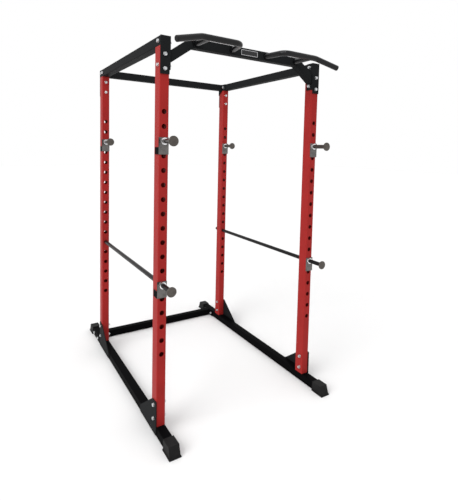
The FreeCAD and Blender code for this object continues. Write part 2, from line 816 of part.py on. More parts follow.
def inwards(side):
    return "-X" if side == RIGHT else "+X"


def gusset_joints():
    for end_name, end in ENDS:
        for side_name, side in SIDES:
            for i, height in enumerate(("gusset_bolt_low", "gusset_bolt_top")):
                spot = ("%d * (outer_x + plate)" % side, "front_y" if end == FRONT else "rear_y",
                        "post_foot + " + height)
                yield joint("gusset_%s_%s_%d" % (end_name, side_name, i), spot, inwards(side), "(tube + plate)")


def crossmember_joints():
    for side_name, side in SIDES:
        for i, sign in enumerate((-1, 1)):
            spot = ("%d * outer_x" % side, "rear_y + cross_back + %d * end_bolt" % sign, "rail_z")
            yield joint("cross_%s_%d" % (side_name, i), spot, inwards(side), "(tube + plate)")


def bracket_joints():
    for end_name, end in ENDS:
        for side_name, side in SIDES:
            for i, drop in enumerate(("bolt_high", "bolt_low")):
                face = "front_face - plate" if end == FRONT else "rear_face"
                spot = ("%d * post_x" % side, face, "post_top - " + drop)
                yield joint("face_%s_%s_%d" % (end_name, side_name, i), spot, "+Y", "(post_deep + plate)")


def rail_joints():
    for side_name, side in SIDES:
        spots = [("front_y", "top_rail_z"), ("front_y", "leg_bolt"), ("top_rear_y", "top_rail_z"),
                 ("top_rear_y - rear_bolt_gap", "top_rail_z")]
        for i, (y, z) in enumerate(spots):
            yield joint("rail_%s_%d" % (side_name, i), ("%d * outer_x" % side, y, z), inwards(side),
                        "(tube + plate)")


def fasteners():
    nodes = []
    rings = []
    for label, joints in (("gusset", gusset_joints()), ("crossmember", crossmember_joints()),
                          ("bracket", bracket_joints()), ("rail", rail_joints())):
        bolts, nuts = [], []
        for bolt, nut, washers in joints:
            bolts.append(bolt)
            nuts.append(nut)
            rings.extend(washers)
        nodes.append(group(label + "_bolts", bolts))
        nodes.append(group(label + "_nuts", nuts))
    nodes.append(group("washers", rings))
    return nodes


# ---- whole cage ---------------------------------------------------------------------------

def build():
    nodes = []
    for side in SIDES:
        nodes += [base_rail(side), top_rail(side), front_bracket(side), rear_bracket(side)]
        nodes += [pull_up_leg(side), grip_handle(side)]
        nodes += safety_bar(side)
        for end in ENDS:
            nodes += [upright(end, side), gusset(end, side), foot_cap(end, side)]
            nodes += bar_catch(end, side)
    nodes += [base_crossmember(), crossmember_plates(), top_crossmember(), pull_up_bar()]
    nodes += [handle_stubs(), handle_plugs(), blank_badge()]
    nodes += fasteners()
    return nodes


def export(nodes):
    """Check every object, then write one file per sub-part."""
    doc.recompute()
    bad = [thing.Name for thing in doc.Objects if {"Invalid", "Error"} & set(thing.State)]
    if bad:
        raise RuntimeError("not rebuilt: " + ", ".join(bad))
    os.makedirs("parts", exist_ok=True)
    for node in nodes:
        if node.Shape.isNull() or not node.Shape.isValid():
            raise RuntimeError("no sound shape: " + node.Label)
        node.Shape.exportStep("parts/%s.step" % node.Label)


export(build())
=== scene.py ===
"""Power cage: finished meshes, finishes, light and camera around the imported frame."""

import json
import logging
import math
from collections.abc import Callable, Iterable, Sequence
from dataclasses import dataclass
from enum import Enum
from typing import Any

import bmesh
import bpy
from mathutils import Matrix, Vector

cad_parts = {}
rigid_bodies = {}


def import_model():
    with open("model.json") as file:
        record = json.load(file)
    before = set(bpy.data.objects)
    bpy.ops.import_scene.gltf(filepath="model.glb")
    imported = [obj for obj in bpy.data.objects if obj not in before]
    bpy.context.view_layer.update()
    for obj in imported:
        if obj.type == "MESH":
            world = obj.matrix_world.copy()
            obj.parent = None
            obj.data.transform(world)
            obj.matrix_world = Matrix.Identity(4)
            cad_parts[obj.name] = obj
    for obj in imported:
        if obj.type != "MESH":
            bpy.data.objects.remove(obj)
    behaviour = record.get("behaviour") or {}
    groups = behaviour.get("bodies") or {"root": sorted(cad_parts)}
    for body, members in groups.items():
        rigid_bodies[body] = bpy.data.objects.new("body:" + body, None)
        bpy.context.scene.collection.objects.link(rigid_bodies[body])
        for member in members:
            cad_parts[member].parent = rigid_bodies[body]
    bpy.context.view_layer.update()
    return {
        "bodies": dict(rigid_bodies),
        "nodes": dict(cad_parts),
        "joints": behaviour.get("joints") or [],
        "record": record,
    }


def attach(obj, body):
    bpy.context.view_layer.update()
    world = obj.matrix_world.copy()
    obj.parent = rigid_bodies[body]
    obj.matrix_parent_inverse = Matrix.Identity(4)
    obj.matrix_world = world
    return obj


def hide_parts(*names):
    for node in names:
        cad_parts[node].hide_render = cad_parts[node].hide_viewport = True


LOG = logging.getLogger("power_cage")
IMAGE_WIDE = 458
IMAGE_HIGH = 500
MIX_FACTOR = 0
MIX_LOW = 6
MIX_HIGH = 7
MIX_RESULT = 2
MERGE = 2e-6
TOUCH = 1e-6
LEVEL = 1e-7


# ---- shader maths ---------------------------------------------------------------------------


class Value:
    """A shader socket that takes part in Python expressions."""

    def __init__(self, tree: "Tree", socket: bpy.types.NodeSocket) -> None:
        """Wrap a socket of a tree.

        Args:
            tree: The tree that it is in.
            socket: The output socket.
        """
        self.tree = tree
        self.socket = socket

    def _join(self, operation: str, first: Any, second: Any) -> "Value":
        """Add one Math node.

        Args:
            operation: The Math node's operation.
            first: Value or number.
            second: Value or number.

        Returns:
            The Math node's result.
        """
        return self.tree.node("ShaderNodeMath", {"operation": operation}, {0: first, 1: second})

    def __add__(self, other: Any) -> "Value":
        """Sum.

        Args:
            other: Value or number.

        Returns:
            The sum.
        """
        return self._join("ADD", self, other)

    def __radd__(self, other: Any) -> "Value":
        """Sum with the number first.

        Args:
            other: Value or number.

        Returns:
            The sum.
        """
        return self._join("ADD", other, self)

    def __sub__(self, other: Any) -> "Value":
        """Difference.

        Args:
            other: Value or number.

        Returns:
            The difference.
        """
        return self._join("SUBTRACT", self, other)

    def __rsub__(self, other: Any) -> "Value":
        """Difference with the number first.

        Args:
            other: Value or number.

        Returns:
            The difference.
        """
        return self._join("SUBTRACT", other, self)

    def __mul__(self, other: Any) -> "Value":
        """Product.

        Args:
            other: Value or number.

        Returns:
            The product.
        """
        return self._join("MULTIPLY", self, other)

    def __rmul__(self, other: Any) -> "Value":
        """Product with the number first.

        Args:
            other: Value or number.

        Returns:
            The product.
        """
        return self._join("MULTIPLY", other, self)

    def clamp(self) -> "Value":
        """Hold the value between 0 and 1.

        Returns:
            The held value.
        """
        return self.tree.node("ShaderNodeClamp", {}, {0: self})

    def swing(self, amount: float) -> "Value":
        """Turn 0..1 into a swing to both sides of 0.

        Args:
            amount: Distance from one side to the other.

        Returns:
            The swing.
        """
        return (self - 0.5) * amount

    def ramp(self, low: float, high: float) -> "Value":
        """Map low..high to 0..1, held inside.

        Args:
            low: Value that becomes 0.
            high: Value that becomes 1.

        Returns:
            The mapped value.
        """
        return self.tree.node("ShaderNodeMapRange", {"clamp": True}, {0: self, 1: low, 2: high})


class Tree:
    """Builds one material's nodes."""

    def __init__(self, name: str) -> None:
        """Start an empty material.

        Args:
            name: Its name.
        """
        self.material = bpy.data.materials.new(name)
        self.material.use_nodes = True
        self.tree = self.material.node_tree
        self.tree.nodes.clear()

    def node(self, kind: str, settings: dict[str, Any], inputs: dict[Any, Any],
             out: Any = 0) -> Value:
        """Add any node.

        Args:
            kind: The node's type.
            settings: Attributes set before its sockets.
            inputs: Values or links by socket name or number.
            out: The output wanted.

        Returns:
            That output, ready for an expression.
        """
        made = self.tree.nodes.new(kind)
        for key, setting in settings.items():
            setattr(made, key, setting)
        for key, value in inputs.items():
            if isinstance(value, Value):
                self.tree.links.new(value.socket, made.inputs[key])
            else:
                made.inputs[key].default_value = value
        return Value(self, made.outputs[out] if made.outputs else None)

    def place(self) -> Value:
        """Object coordinates, in metres in the row's frame.

        Returns:
            The coordinates.
        """
        return self.node("ShaderNodeTexCoord", {}, {}, "Object")

    def stretch(self, along: tuple[float, float, float]) -> Value:
        """Object coordinates scaled by axis, for brushed and drawn patterns.

        Args:
            along: Scale along X, Y and Z.

        Returns:
            The scaled coordinates.
        """
        return self.node("ShaderNodeMapping", {}, {"Vector": self.place(), "Scale": along})

    def edge(self, low: float, high: float) -> Value:
        """Mask of the outer edges, where a finish wears first.

        Args:
            low: Pointiness where it starts.
            high: Pointiness where it is full.

        Returns:
            The mask.
        """
        return self.node("ShaderNodeNewGeometry", {}, {}, "Pointiness").ramp(low, high)

    def grain(self, scale: float, detail: float = 2.0, rough: float = 0.5,
              where: Value | None = None) -> Value:
        """Noise between about 0 and 1.

        Args:
            scale: Repeats per metre.
            detail: Octaves.
            rough: Weight of the finer octaves.
            where: Coordinates, the object's own by default.

        Returns:
            The noise factor.
        """
        settings = {"noise_dimensions": "3D"}
        place = where or self.place()
        inputs = {"Vector": place, "Scale": scale, "Detail": detail, "Roughness": rough}
        return self.node("ShaderNodeTexNoise", settings, inputs)

    def blend(self, factor: Any, low: Any, high: Any) -> Value:
        """Mix two colours.

        Args:
            factor: 0 gives low and 1 gives high.
            low: Linear colour.
            high: Linear colour.

        Returns:
            The mixed colour.
        """
        inputs = {MIX_FACTOR: factor}
        for socket, end in ((MIX_LOW, low), (MIX_HIGH, high)):
            inputs[socket] = end if isinstance(end, Value) else (*end, 1.0)
        return self.node("ShaderNodeMix", {"data_type": "RGBA"}, inputs, MIX_RESULT)

    def bump(self, height: Value, depth: float, strength: float = 1.0,
             under: Value | None = None) -> Value:
        """Normal from a height.

        Args:
            height: Height field, about 0 to 1.
            depth: Depth in metres of a height of 1.
            strength: Mix with the smooth normal.
            under: An earlier bump to add to.

        Returns:
            The bumped normal.
        """
        inputs = {"Height": height, "Distance": depth, "Strength": strength}
        if under is not None:
            inputs["Normal"] = under
        return self.node("ShaderNodeBump", {}, inputs)

    def finish(self, links: dict[str, Any]) -> bpy.types.Material:
        """Close the tree with a Principled shader.

        Args:
            links: Its socket values or links.

        Returns:
            The finished material.
        """
        shader = self.node("ShaderNodeBsdfPrincipled", {}, links)
        self.node("ShaderNodeOutputMaterial", {}, {"Surface": shader})
        return self.material


# ---- finishes -------------------------------------------------------------------------------


@dataclass(frozen=True)
class PowderCoat:
    """Baked powder paint: orange peel, fine grit and slightly rubbed edges."""

    name: str
    color: tuple[float, float, float]
    rubbed: tuple[float, float, float]
    rough: float = 0.42
    peel: float = 0.00005
    sheen: float = 0.25
    cloud_scale: float = 9.0
    cloud_range: tuple[float, float] = (0.3, 0.7)
    cloud_shade: float = 0.88
    peel_scale: float = 420.0
    grit_scale: float = 1500.0
    grit_depth: float = 0.35
    wear: tuple[float, float] = (0.53, 0.62)
    scuff_scale: float = 130.0
    scuff_range: tuple[float, float] = (0.45, 0.7)
    scuffed: float = 0.35

    def make(self) -> bpy.types.Material:
        """Build the material.

        Returns:
            The finished material.
        """
        tree = Tree(self.name)
        cloud = tree.grain(self.cloud_scale, 3.0)
        peel = tree.grain(self.peel_scale, 2.0)
        grit = tree.grain(self.grit_scale, 1.0)
        edge = tree.edge(*self.wear)
        scuff = tree.grain(self.scuff_scale, 4.0, 0.7).ramp(*self.scuff_range)
        scuff = (edge * scuff) * self.scuffed
        dark = tuple(channel * self.cloud_shade for channel in self.color)
        base = tree.blend(cloud.ramp(*self.cloud_range), dark, self.color)
        base = tree.blend(scuff, base, self.rubbed)
        rough = self.rough + cloud.swing(0.10) + peel.swing(0.12) + scuff * 0.1
        normal = tree.bump(peel, self.peel, 0.55)
        normal = tree.bump(grit, self.peel * self.grit_depth, 0.5, normal)
        return tree.finish({"Base Color": base, "Roughness": rough.clamp(), "Normal": normal,
                            "IOR": 1.5, "Specular IOR Level": self.sheen})


@dataclass(frozen=True)
class PlatedSteel:
    """Bright metal with a fine grain along one axis and faint handling marks."""

    name: str
    color: tuple[float, float, float]
    shade: tuple[float, float, float]
    rough: float = 0.22
    along: tuple[float, float, float] = (60.0, 900.0, 900.0)
    depth: float = 0.00001
    spangle: float = 0.0
    flake_scale: float = 260.0
    mark_scale: float = 38.0
    mark_range: tuple[float, float] = (0.42, 0.72)
    marked: float = 0.55

    def make(self) -> bpy.types.Material:
        """Build the material.

        Returns:
            The finished material.
        """
        tree = Tree(self.name)
        brushed = tree.grain(1.0, 3.0, 0.6, tree.stretch(self.along))
        marks = tree.grain(self.mark_scale, 4.0, 0.65).ramp(*self.mark_range)
        flake = tree.grain(self.flake_scale, 1.0)
        tone = (marks * self.marked + flake * self.spangle).clamp()
        base = tree.blend(tone, self.color, self.shade)
        rough = self.rough + brushed.swing(0.12) + marks * 0.10
        normal = tree.bump(brushed, self.depth, 0.6)
        return tree.finish({"Base Color": base, "Metallic": 1.0, "Roughness": rough.clamp(),
                            "Normal": normal})


@dataclass(frozen=True)
class Moulded:
    """Moulded rubber or plastic with a fine matt grain."""

    name: str
    color: tuple[float, float, float]
    dusty: tuple[float, float, float]
    rough: float = 0.72
    grain: float = 900.0
    depth: float = 0.00008
    sheen: float = 0.1
    cloud_scale: float = 22.0
    cloud_range: tuple[float, float] = (0.35, 0.75)
    wear: tuple[float, float] = (0.52, 0.6)

    def make(self) -> bpy.types.Material:
        """Build the material.

        Returns:
            The finished material.
        """
        tree = Tree(self.name)
        skin = tree.grain(self.grain, 3.0, 0.6)
        cloud = tree.grain(self.cloud_scale, 4.0, 0.6).ramp(*self.cloud_range)
        edge = tree.edge(*self.wear)
        base = tree.blend((cloud * 0.4 + edge * 0.35).clamp(), self.color, self.dusty)
        rough = self.rough + skin.swing(0.2) - edge * 0.08
        return tree.finish({"Base Color": base, "Roughness": rough.clamp(),
                            "Specular IOR Level": self.sheen,
                            "Normal": tree.bump(skin, self.depth, 0.5)})


RED = (0.298, 0.0184, 0.0168)
BLACK = (0.0028, 0.0028, 0.0031)
# LIT_BLACK: the black powder coat with a lighter base colour, a painted sheen for the tubes,
# brackets and gussets that show gloss highlights
LIT_BLACK = (0.0120, 0.0128, 0.0135)
FINISHES: dict[str, Any] = {
    "red_powder_coat": PowderCoat(
        "red powder coat", RED, (0.40, 0.07, 0.07), rough=0.46, sheen=0.06),
    "black_powder_coat": PowderCoat(
        "black powder coat", BLACK, (0.016, 0.016, 0.017), rough=0.50, sheen=0.008),
    # Same black powder coat with a lighter base colour: painted sheen
    "black coat with painted sheen": PowderCoat(
        "black coat with painted sheen", LIT_BLACK, (0.03, 0.03, 0.031), rough=0.50, sheen=0.012),
    "black_grip": PowderCoat(
        "black grip coat", (0.0055, 0.0055, 0.0060), (0.03, 0.03, 0.03), rough=0.26, sheen=0.24),
    "black_rod": PowderCoat(
        "black rod coat", (0.0045, 0.0042, 0.0045), (0.04, 0.04, 0.04), rough=0.30, sheen=0.12),
    "foot_rubber": Moulded(
        "foot rubber", (0.006, 0.006, 0.0062), (0.018, 0.0175, 0.017), 0.6),
    "plug_plastic": Moulded(
        "plug plastic", (0.009, 0.009, 0.0095), (0.025, 0.025, 0.025), 0.45, 700.0, 0.00004),
    "badge_plate": Moulded(
        "badge plate", (0.02, 0.02, 0.021), (0.035, 0.035, 0.036), 0.35, 500.0, 0.00002),
    "light rim": Moulded(
        "light rim", (0.55, 0.55, 0.56), (0.42, 0.42, 0.43), 0.4, 500.0, 0.00002),
    "zinc_steel": PlatedSteel(
        "zinc plate", (0.66, 0.67, 0.68), (0.48, 0.49, 0.50), 0.26, (300.0, 300.0, 300.0),
        0.00002, 0.25),
    # Saddle plates: plated steel with a dark base colour, a painted dark reflection in place of the
    # dark surroundings that the plate mirrors
    "plated_steel": PlatedSteel(
        "plate steel with painted dark reflection", (0.155, 0.148, 0.143), (0.06, 0.057, 0.055), 0.24, (900.0, 900.0, 45.0),
        0.00002),
    # Discs: the same plated steel with a darker base colour, a painted dark reflection
    "disc steel with painted dark reflection": PlatedSteel(
        "disc steel with painted dark reflection", (0.105, 0.095, 0.086), (0.058, 0.052, 0.046), 0.30, (700.0, 60.0, 700.0),
        0.00002),
    "collar chrome": PlatedSteel(
        "collar chrome", (0.86, 0.86, 0.87), (0.62, 0.62, 0.63), 0.12, (900.0, 60.0, 900.0),
        0.000008),
    # Polished rod steel with a dark base colour: painted dark reflection
    "rod_steel": PlatedSteel(
        "rod steel with painted dark reflection", (0.075, 0.064, 0.060), (0.034, 0.029, 0.027), 0.18,
        (900.0, 30.0, 900.0)),
}


# ---- mesh helpers ---------------------------------------------------------------------------


class Workshop:
    """Holds the frame and turns meshes into finished pieces.

    Attributes:
        flat: Faces turned by less than this many degrees become one.
    """

    flat = 1.0

    def __init__(self, frame: dict[str, Any]) -> None:
        """Make every finish once.
        """
        self.frame = frame
        self.materials = {slot: finish.make() for slot, finish in FINISHES.items()}
        self.slots = {part["node"]: part["material_slot"] for part in frame["record"]["subparts"]}

    def piece(self, name: str, mesh: bmesh.types.BMesh, slot: str, body: str,
              nodes: Iterable[str] = (), sharp: float = 32.0,
              finish: str | None = None) -> bpy.types.Object:
        """Turn a bmesh into a piece that rides on a body.

        Args:
            name: The piece's name.
            mesh: Its shape in the row frame; it is freed.
            slot: Material slot of the record.
            body: Body that it moves with.
            nodes: CAD nodes that it stands for.
            sharp: Edges turned by more than this many degrees stay crisp.
            finish: Finish that it wears, the slot's own by default.

        Returns:
            The new object.
        """
        data = bpy.data.meshes.new(name)
        mesh.to_mesh(data)
        mesh.free()
        data.shade_smooth()
        data.set_sharp_from_angle(angle=math.radians(sharp))
        made = bpy.data.objects.new(name, data)
        bpy.context.scene.collection.objects.link(made)
        data.materials.append(self.materials[finish or slot])
        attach(made, body)
        if nodes:
            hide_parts(*nodes)
        return made

    def copied(self, node: str) -> bmesh.types.BMesh:
        """Copy a CAD node's mesh with its doubled corners merged.

        Args:
            node: The CAD node.

        Returns:
            The copy.
        """
        mesh = bmesh.new()
        mesh.from_mesh(self.frame["nodes"][node].data)
        bmesh.ops.remove_doubles(mesh, verts=mesh.verts, dist=MERGE)
        return mesh

    def body_of(self, node: str) -> str:
        """Find the body that a node is on.

        Args:
            node: The CAD node.

        Returns:
            The body's name.
        """
        for body, members in self.frame["record"]["behaviour"]["bodies"].items():
            if node in members:
                return body
        raise KeyError(node)

    def eased(self, node: str, width: float, steps: int = 2, angle: float = 40.0,
              finish: str | None = None) -> bpy.types.Object:
        """Stand a copy with eased edges in for a CAD node.

        Args:
            node: The CAD node.
            width: Width of the eased edge in metres.
            steps: Segments across it.
            angle: Only edges turned by more than this many degrees are eased.
            finish: Finish that it wears, the slot's own by default.

        Returns:
            The finer piece.
        """
        mesh = self.copied(node)
        bmesh.ops.dissolve_limit(mesh, angle_limit=math.radians(self.flat), verts=mesh.verts,
                                 edges=mesh.edges, use_dissolve_boundaries=False, delimit=set())
        made = self.piece(node + "_finish", mesh, self.slots[node], self.body_of(node), [node],
                          finish=finish)
        soften = made.modifiers.new("eased", "BEVEL")
        soften.width = width
        soften.segments = steps
        soften.limit_method = "ANGLE"
        soften.angle_limit = math.radians(angle)
        soften.use_clamp_overlap = True
        soften.harden_normals = True
        return made


def spun(mesh: bmesh.types.BMesh, steps: int) -> None:
    """Turn everything in a mesh once round +Z.

    Args:
        mesh: Mesh with the outline to turn.
        steps: Segments round the axis.
    """
    bmesh.ops.spin(mesh, geom=mesh.verts[:] + mesh.edges[:], cent=(0, 0, 0), axis=(0, 0, 1),
                   angle=math.tau, steps=steps, use_merge=True, use_duplicate=False)


def lathe(profile: Sequence[tuple[float, float]], steps: int) -> bmesh.types.BMesh:
    """Closed solid of revolution about +Z.

    Args:
        profile: (radius, height) pairs from the axis at the bottom to the axis at the top.
        steps: Segments round the axis.

    Returns:
        The solid.
    """
    mesh = bmesh.new()
    verts = [mesh.verts.new((radius, 0.0, height)) for radius, height in profile]
    for pair in zip(verts, verts[1:]):
        mesh.edges.new(pair)
    spun(mesh, steps)
    bmesh.ops.remove_doubles(mesh, verts=mesh.verts, dist=TOUCH)
    bmesh.ops.recalc_face_normals(mesh, faces=mesh.faces)
    return mesh


def turned(outline: Sequence[tuple[float, float]], steps: int) -> bmesh.types.BMesh:
    """Ring about +Z from a closed outline that stays off the axis.

    Args:
        outline: (radius, height) corners in order.
        steps: Segments round the axis.

    Returns:
        The ring.
    """
    mesh = bmesh.new()
    verts = [mesh.verts.new((radius, 0.0, height)) for radius, height in outline]
    for i, vert in enumerate(verts):
        mesh.edges.new((vert, verts[i - 1]))
    spun(mesh, steps)
    bmesh.ops.recalc_face_normals(mesh, faces=mesh.faces)
    return mesh


def joined(target: bmesh.types.BMesh, extra: bmesh.types.BMesh, matrix: Matrix) -> None:
    """Add a shape to another.

    Args:
        target: Mesh that gets it.
        extra: Shape to add; it is freed.
        matrix: Puts it in place.
    """
    bmesh.ops.transform(extra, matrix=matrix, verts=extra.verts)
    keep = bpy.data.meshes.new("joined")
    extra.to_mesh(keep)
    extra.free()
    target.from_mesh(keep)
    bpy.data.meshes.remove(keep)


def facing(direction: Vector, spot: Vector) -> Matrix:
    """Matrix that takes +Z to a direction and the origin to a spot.

    Args:
        direction: Where +Z goes.
        spot: Where the origin goes.

    Returns:
        The matrix.
    """
    return Matrix.Translation(spot) @ direction.to_track_quat("Z", "Y").to_matrix().to_4x4()


def islands(mesh: bmesh.types.BMesh) -> list[tuple[Vector, Vector]]:
    """Boxes of the separate solids in a merged mesh.

    Args:
        mesh: The merged mesh.

    Returns:
        (lowest corner, highest corner) of each, in a steady order.
    """
    seen: set[int] = set()
    boxes = []
    mesh.verts.ensure_lookup_table()
    for start in mesh.verts:
        if start.index in seen:
            continue
        seen.add(start.index)
        stack = [start]
        low = start.co.copy()
        high = start.co.copy()
        while stack:
            vert = stack.pop()
            for axis in range(3):
                low[axis] = min(low[axis], vert.co[axis])
                high[axis] = max(high[axis], vert.co[axis])
            for edge in vert.link_edges:
                other = edge.other_vert(vert)
                if other.index not in seen:
                    seen.add(other.index)
                    stack.append(other)
        boxes.append((low, high))
    return sorted(boxes, key=lambda box: tuple(round(value, 5) for value in (*box[0], *box[1])))


# ---- frame ----------------------------------------------------------------------------------


class Side(Enum):
    """Left or right half of the cage."""

    LEFT = "left"
    RIGHT = "right"


class End(Enum):
    """Front or rear of the cage."""

    FRONT = "front"
    REAR = "rear"


@dataclass
class FrameSteel:
    """Tubes, plates and brackets of the bolted frame."""

    shop: Workshop
    tube_edge: float = 0.0004
    plate_edge: float = 0.0008
    # Finish with painted sheen: a lighter copy of the black powder coat
    sheen_finish: str = "black coat with painted sheen"

    def build(self) -> None:
        """Give every steel piece of the frame eased edges and its finish."""
        for side in Side:
            for end in End:
                self.shop.eased(f"upright_{end.value}_{side.value}", self.tube_edge)
                self.shop.eased(f"gusset_{end.value}_{side.value}", self.plate_edge,
                                finish=self.sheen_finish)
            self.shop.eased("base_rail_" + side.value, self.tube_edge)
            for stem in ("top_rail_", "pull_up_leg_"):
                self.shop.eased(stem + side.value, self.tube_edge, finish=self.sheen_finish)
            for stem in ("bar_bracket_", "rear_bracket_"):
                self.shop.eased(stem + side.value, self.plate_edge, finish=self.sheen_finish)
        self.shop.eased("base_crossmember", self.tube_edge)
        self.shop.eased("crossmember_plates", self.plate_edge)
        for name in ("top_crossmember", "pull_up_bar"):
            self.shop.eased(name, self.tube_edge, finish=self.sheen_finish)


@dataclass
class Grips:
    """Bent grip handles, their stubs, end plugs and the blank badge."""

    shop: Workshop
    edge: float = 0.0005
    badge_at: tuple[float, float, float] = (0.0, -0.6585, 2.093)
    badge_wide: float = 0.110
    badge_high: float = 0.030
    badge_thick: float = 0.001
    rim: float = 0.0022
    rim_proud: float = 0.0005
    plate_proud: float = 0.0003
    sharp: float = 20.0

    def build(self) -> None:
        """Finish the grips and the badge."""
        for side in Side:
            self.shop.eased("grip_handle_" + side.value, self.edge)
        self.shop.eased("handle_stubs", self.edge)
        self.shop.eased("handle_plugs", self.edge)
        self._badge()

    def _plate(self, wide: float, high: float, thick: float) -> bmesh.types.BMesh:
        """Flat box with its face on Z = 0 and its back below.

        Args:
            wide: Size along X.
            high: Size along Y.
            thick: Size along Z.

        Returns:
            The box.
        """
        mesh = bmesh.new()
        size = Matrix.Diagonal((wide, high, thick, 1.0))
        bmesh.ops.create_cube(mesh, size=1.0, matrix=Matrix.Translation((0, 0, -thick / 2)) @ size)
        return mesh

    def _badge(self) -> None:
        """Dark plate inside a raised light rim."""
        rim = self._plate(self.badge_wide, self.badge_high, self.badge_thick)
        face = [each for each in rim.faces if each.normal.z > 0.5]
        bmesh.ops.inset_region(rim, faces=face, thickness=self.rim, depth=0.0)
        bmesh.ops.translate(rim, verts=face[0].verts, vec=(0, 0, -self.rim_proud))
        stand = Matrix.Translation(self.badge_at) @ Matrix.Rotation(math.pi / 2, 4, "X")
        bmesh.ops.transform(rim, matrix=stand, verts=rim.verts)
        self.shop.piece("blank_badge_rim", rim, "badge_plate", "frame", ["blank_badge"],
                        sharp=self.sharp, finish="light rim")
        border = 2 * self.rim
        inner = self._plate(self.badge_wide - border, self.badge_high - border, self.plate_proud)
        drop = Matrix.Translation((0, self.rim_proud - self.plate_proud, 0)) @ stand
        bmesh.ops.transform(inner, matrix=drop, verts=inner.verts)
        self.shop.piece("blank_badge_plate", inner, "badge_plate", "frame", ["blank_badge"],
                        sharp=self.sharp)


@dataclass
class Welds:
    """Painted weld beads in the corners between joined tubes and plates."""

    shop: Workshop
    bead: float = 0.0026
    ripple: float = 0.0011
    swell: float = 0.16
    sunk: float = 0.45
    sides: int = 10
    ring_steps: int = 48
    end_taper: float = 0.55
    taper_step: float = 0.15
    bar_low: float = 2.068
    bar_top: float = 2.118
    bar_front: float = -0.6575
    bar_rear: float = -0.6075
    mitre_low: float = 0.3500
    mitre_top: float = 0.3662
    leg_low: float = 1.9735
    leg_top: float = 2.0353
    grip_x: float = 0.115
    stub_x: float = 0.335
    grip_z: float = 2.093
    grip: float = 0.032
    plate_x: float = 0.4800
    base_front: float = 0.6375
    base_low: float = 0.005
    top_front: float = 0.4925
    top_low: float = 2.055
    crossmember: float = 0.05
    toe_x: float = 0.5345
    front_toe: tuple[float, float] = (-0.600, -0.418)
    rear_toe: tuple[float, float] = (0.335, 0.465)
    rail_top: float = 0.055

    @property
    def inset(self) -> float:
        """How far a bead's middle stands back from the corner's edge.

        Returns:
            The distance.
        """
        return self.bead * self.sunk

    def build(self) -> None:
        """Lay every bead."""
        self._bar()
        self._rings()
        self._crossmembers()
        self._gussets()

    def _lay(self, mesh: bmesh.types.BMesh, start: Sequence[float], end: Sequence[float]) -> None:
        """Add a straight rippled bead with rounded ends.

        Args:
            mesh: Mesh that gets it.
            start: Where it starts.
            end: Where it ends.
        """
        first = Vector(start)
        along = Vector(end) - first
        steps = max(4, round(along.length / self.ripple))
        profile = [(0.0, 0.0)]
        for i in range(1, steps):
            taper = min(1.0, self.end_taper + self.taper_step * min(i, steps - i))
            swell = 1.0 - self.swell * (i % 3) / 2
            profile.append((self.bead * taper * swell, along.length * i / steps))
        profile.append((0.0, along.length))
        joined(mesh, lathe(profile, self.sides), facing(along.normalized(), first))

    def _loop(self, mesh: bmesh.types.BMesh, corners: Sequence[Sequence[float]]) -> None:
        """Lay beads from corner to corner and back to the first.

        Args:
            mesh: Mesh that gets them.
            corners: The corners in order.
        """
        for start, end in zip(corners, [*corners[1:], corners[0]]):
            self._lay(mesh, start, end)

    def _bar(self) -> None:
        """Mitres of the pull-up bar and the feet of its legs."""
        for side, sign in ((Side.LEFT, -1.0), (Side.RIGHT, 1.0)):
            mesh = bmesh.new()
            front, rear = self.bar_front + self.inset, self.bar_rear - self.inset
            top, low = self.bar_top - self.bead, self.bar_low + self.inset
            self._loop(mesh, [(sign * self.mitre_low, front, low),
                              (sign * self.mitre_top, front, top),
                              (sign * self.mitre_top, rear, top),
                              (sign * self.mitre_low, rear, low)])
            foot = sign * (self.plate_x - self.inset)
            top, low = self.leg_top - self.inset, self.leg_low + self.inset
            self._loop(mesh, [(foot, front, low), (foot, front, top), (foot, rear, top),
                              (foot, rear, low)])
            self.shop.piece(f"bar_welds_{side.value}", mesh, "black_powder_coat", "frame")

    def _rings(self) -> None:
        """Rings where the grips and stubs meet the bar's face."""
        mesh = bmesh.new()
        for sign in (-1.0, 1.0):
            for spot in (self.grip_x, self.stub_x):
                middle = Vector((sign * spot, self.bar_front, self.grip_z))
                joined(mesh, self._ring(), facing(Vector((0, -1, 0)), middle))
        self.shop.piece("grip_welds", mesh, "black_powder_coat", "frame")

    def _ring(self) -> bmesh.types.BMesh:
        """Bead bent round a tube about +Z.

        Returns:
            The ring.
        """
        mesh = bmesh.new()
        bmesh.ops.create_circle(mesh, cap_ends=False, segments=self.sides, radius=self.bead)
        out = Matrix.Translation((self.grip / 2, 0, 0))
        tilt = out @ Matrix.Rotation(math.pi / 2, 4, "X")
        bmesh.ops.transform(mesh, matrix=tilt, verts=mesh.verts)
        spun(mesh, self.ring_steps)
        bmesh.ops.recalc_face_normals(mesh, faces=mesh.faces)
        return mesh

    def _crossmembers(self) -> None:
        """Ends of the two rear crossmembers against their plates."""
        places = (("base", self.base_front, self.base_low), ("top", self.top_front, self.top_low))
        for name, front, low in places:
            mesh = bmesh.new()
            rear, high = (start + self.crossmember - self.inset for start in (front, low))
            near, under = front + self.inset, low + self.inset
            for sign in (-1.0, 1.0):
                face = sign * self.plate_x
                self._loop(mesh, [(face, near, under), (face, near, high), (face, rear, high),
                                  (face, rear, under)])
            self.shop.piece(f"{name}_crossmember_welds", mesh, "black_powder_coat", "frame")

    def _gussets(self) -> None:
        """Beads along the tops of the base rails under the gussets' inner faces."""
        mesh = bmesh.new()
        for sign in (-1.0, 1.0):
            for start, end in (self.front_toe, self.rear_toe):
                edge = sign * self.toe_x
                self._lay(mesh, (edge, start, self.rail_top), (edge, end, self.rail_top))
        self.shop.piece("gusset_welds", mesh, "black_powder_coat", "frame")


@dataclass
class Feet:
    """Rubber boots on the rail ends."""

    shop: Workshop
    edge: float = 0.0018
    steps: int = 3

    def build(self) -> None:
        """Round the boots' edges."""
        for side in Side:
            for end in End:
                self.shop.eased(f"foot_cap_{end.value}_{side.value}", self.edge, self.steps)


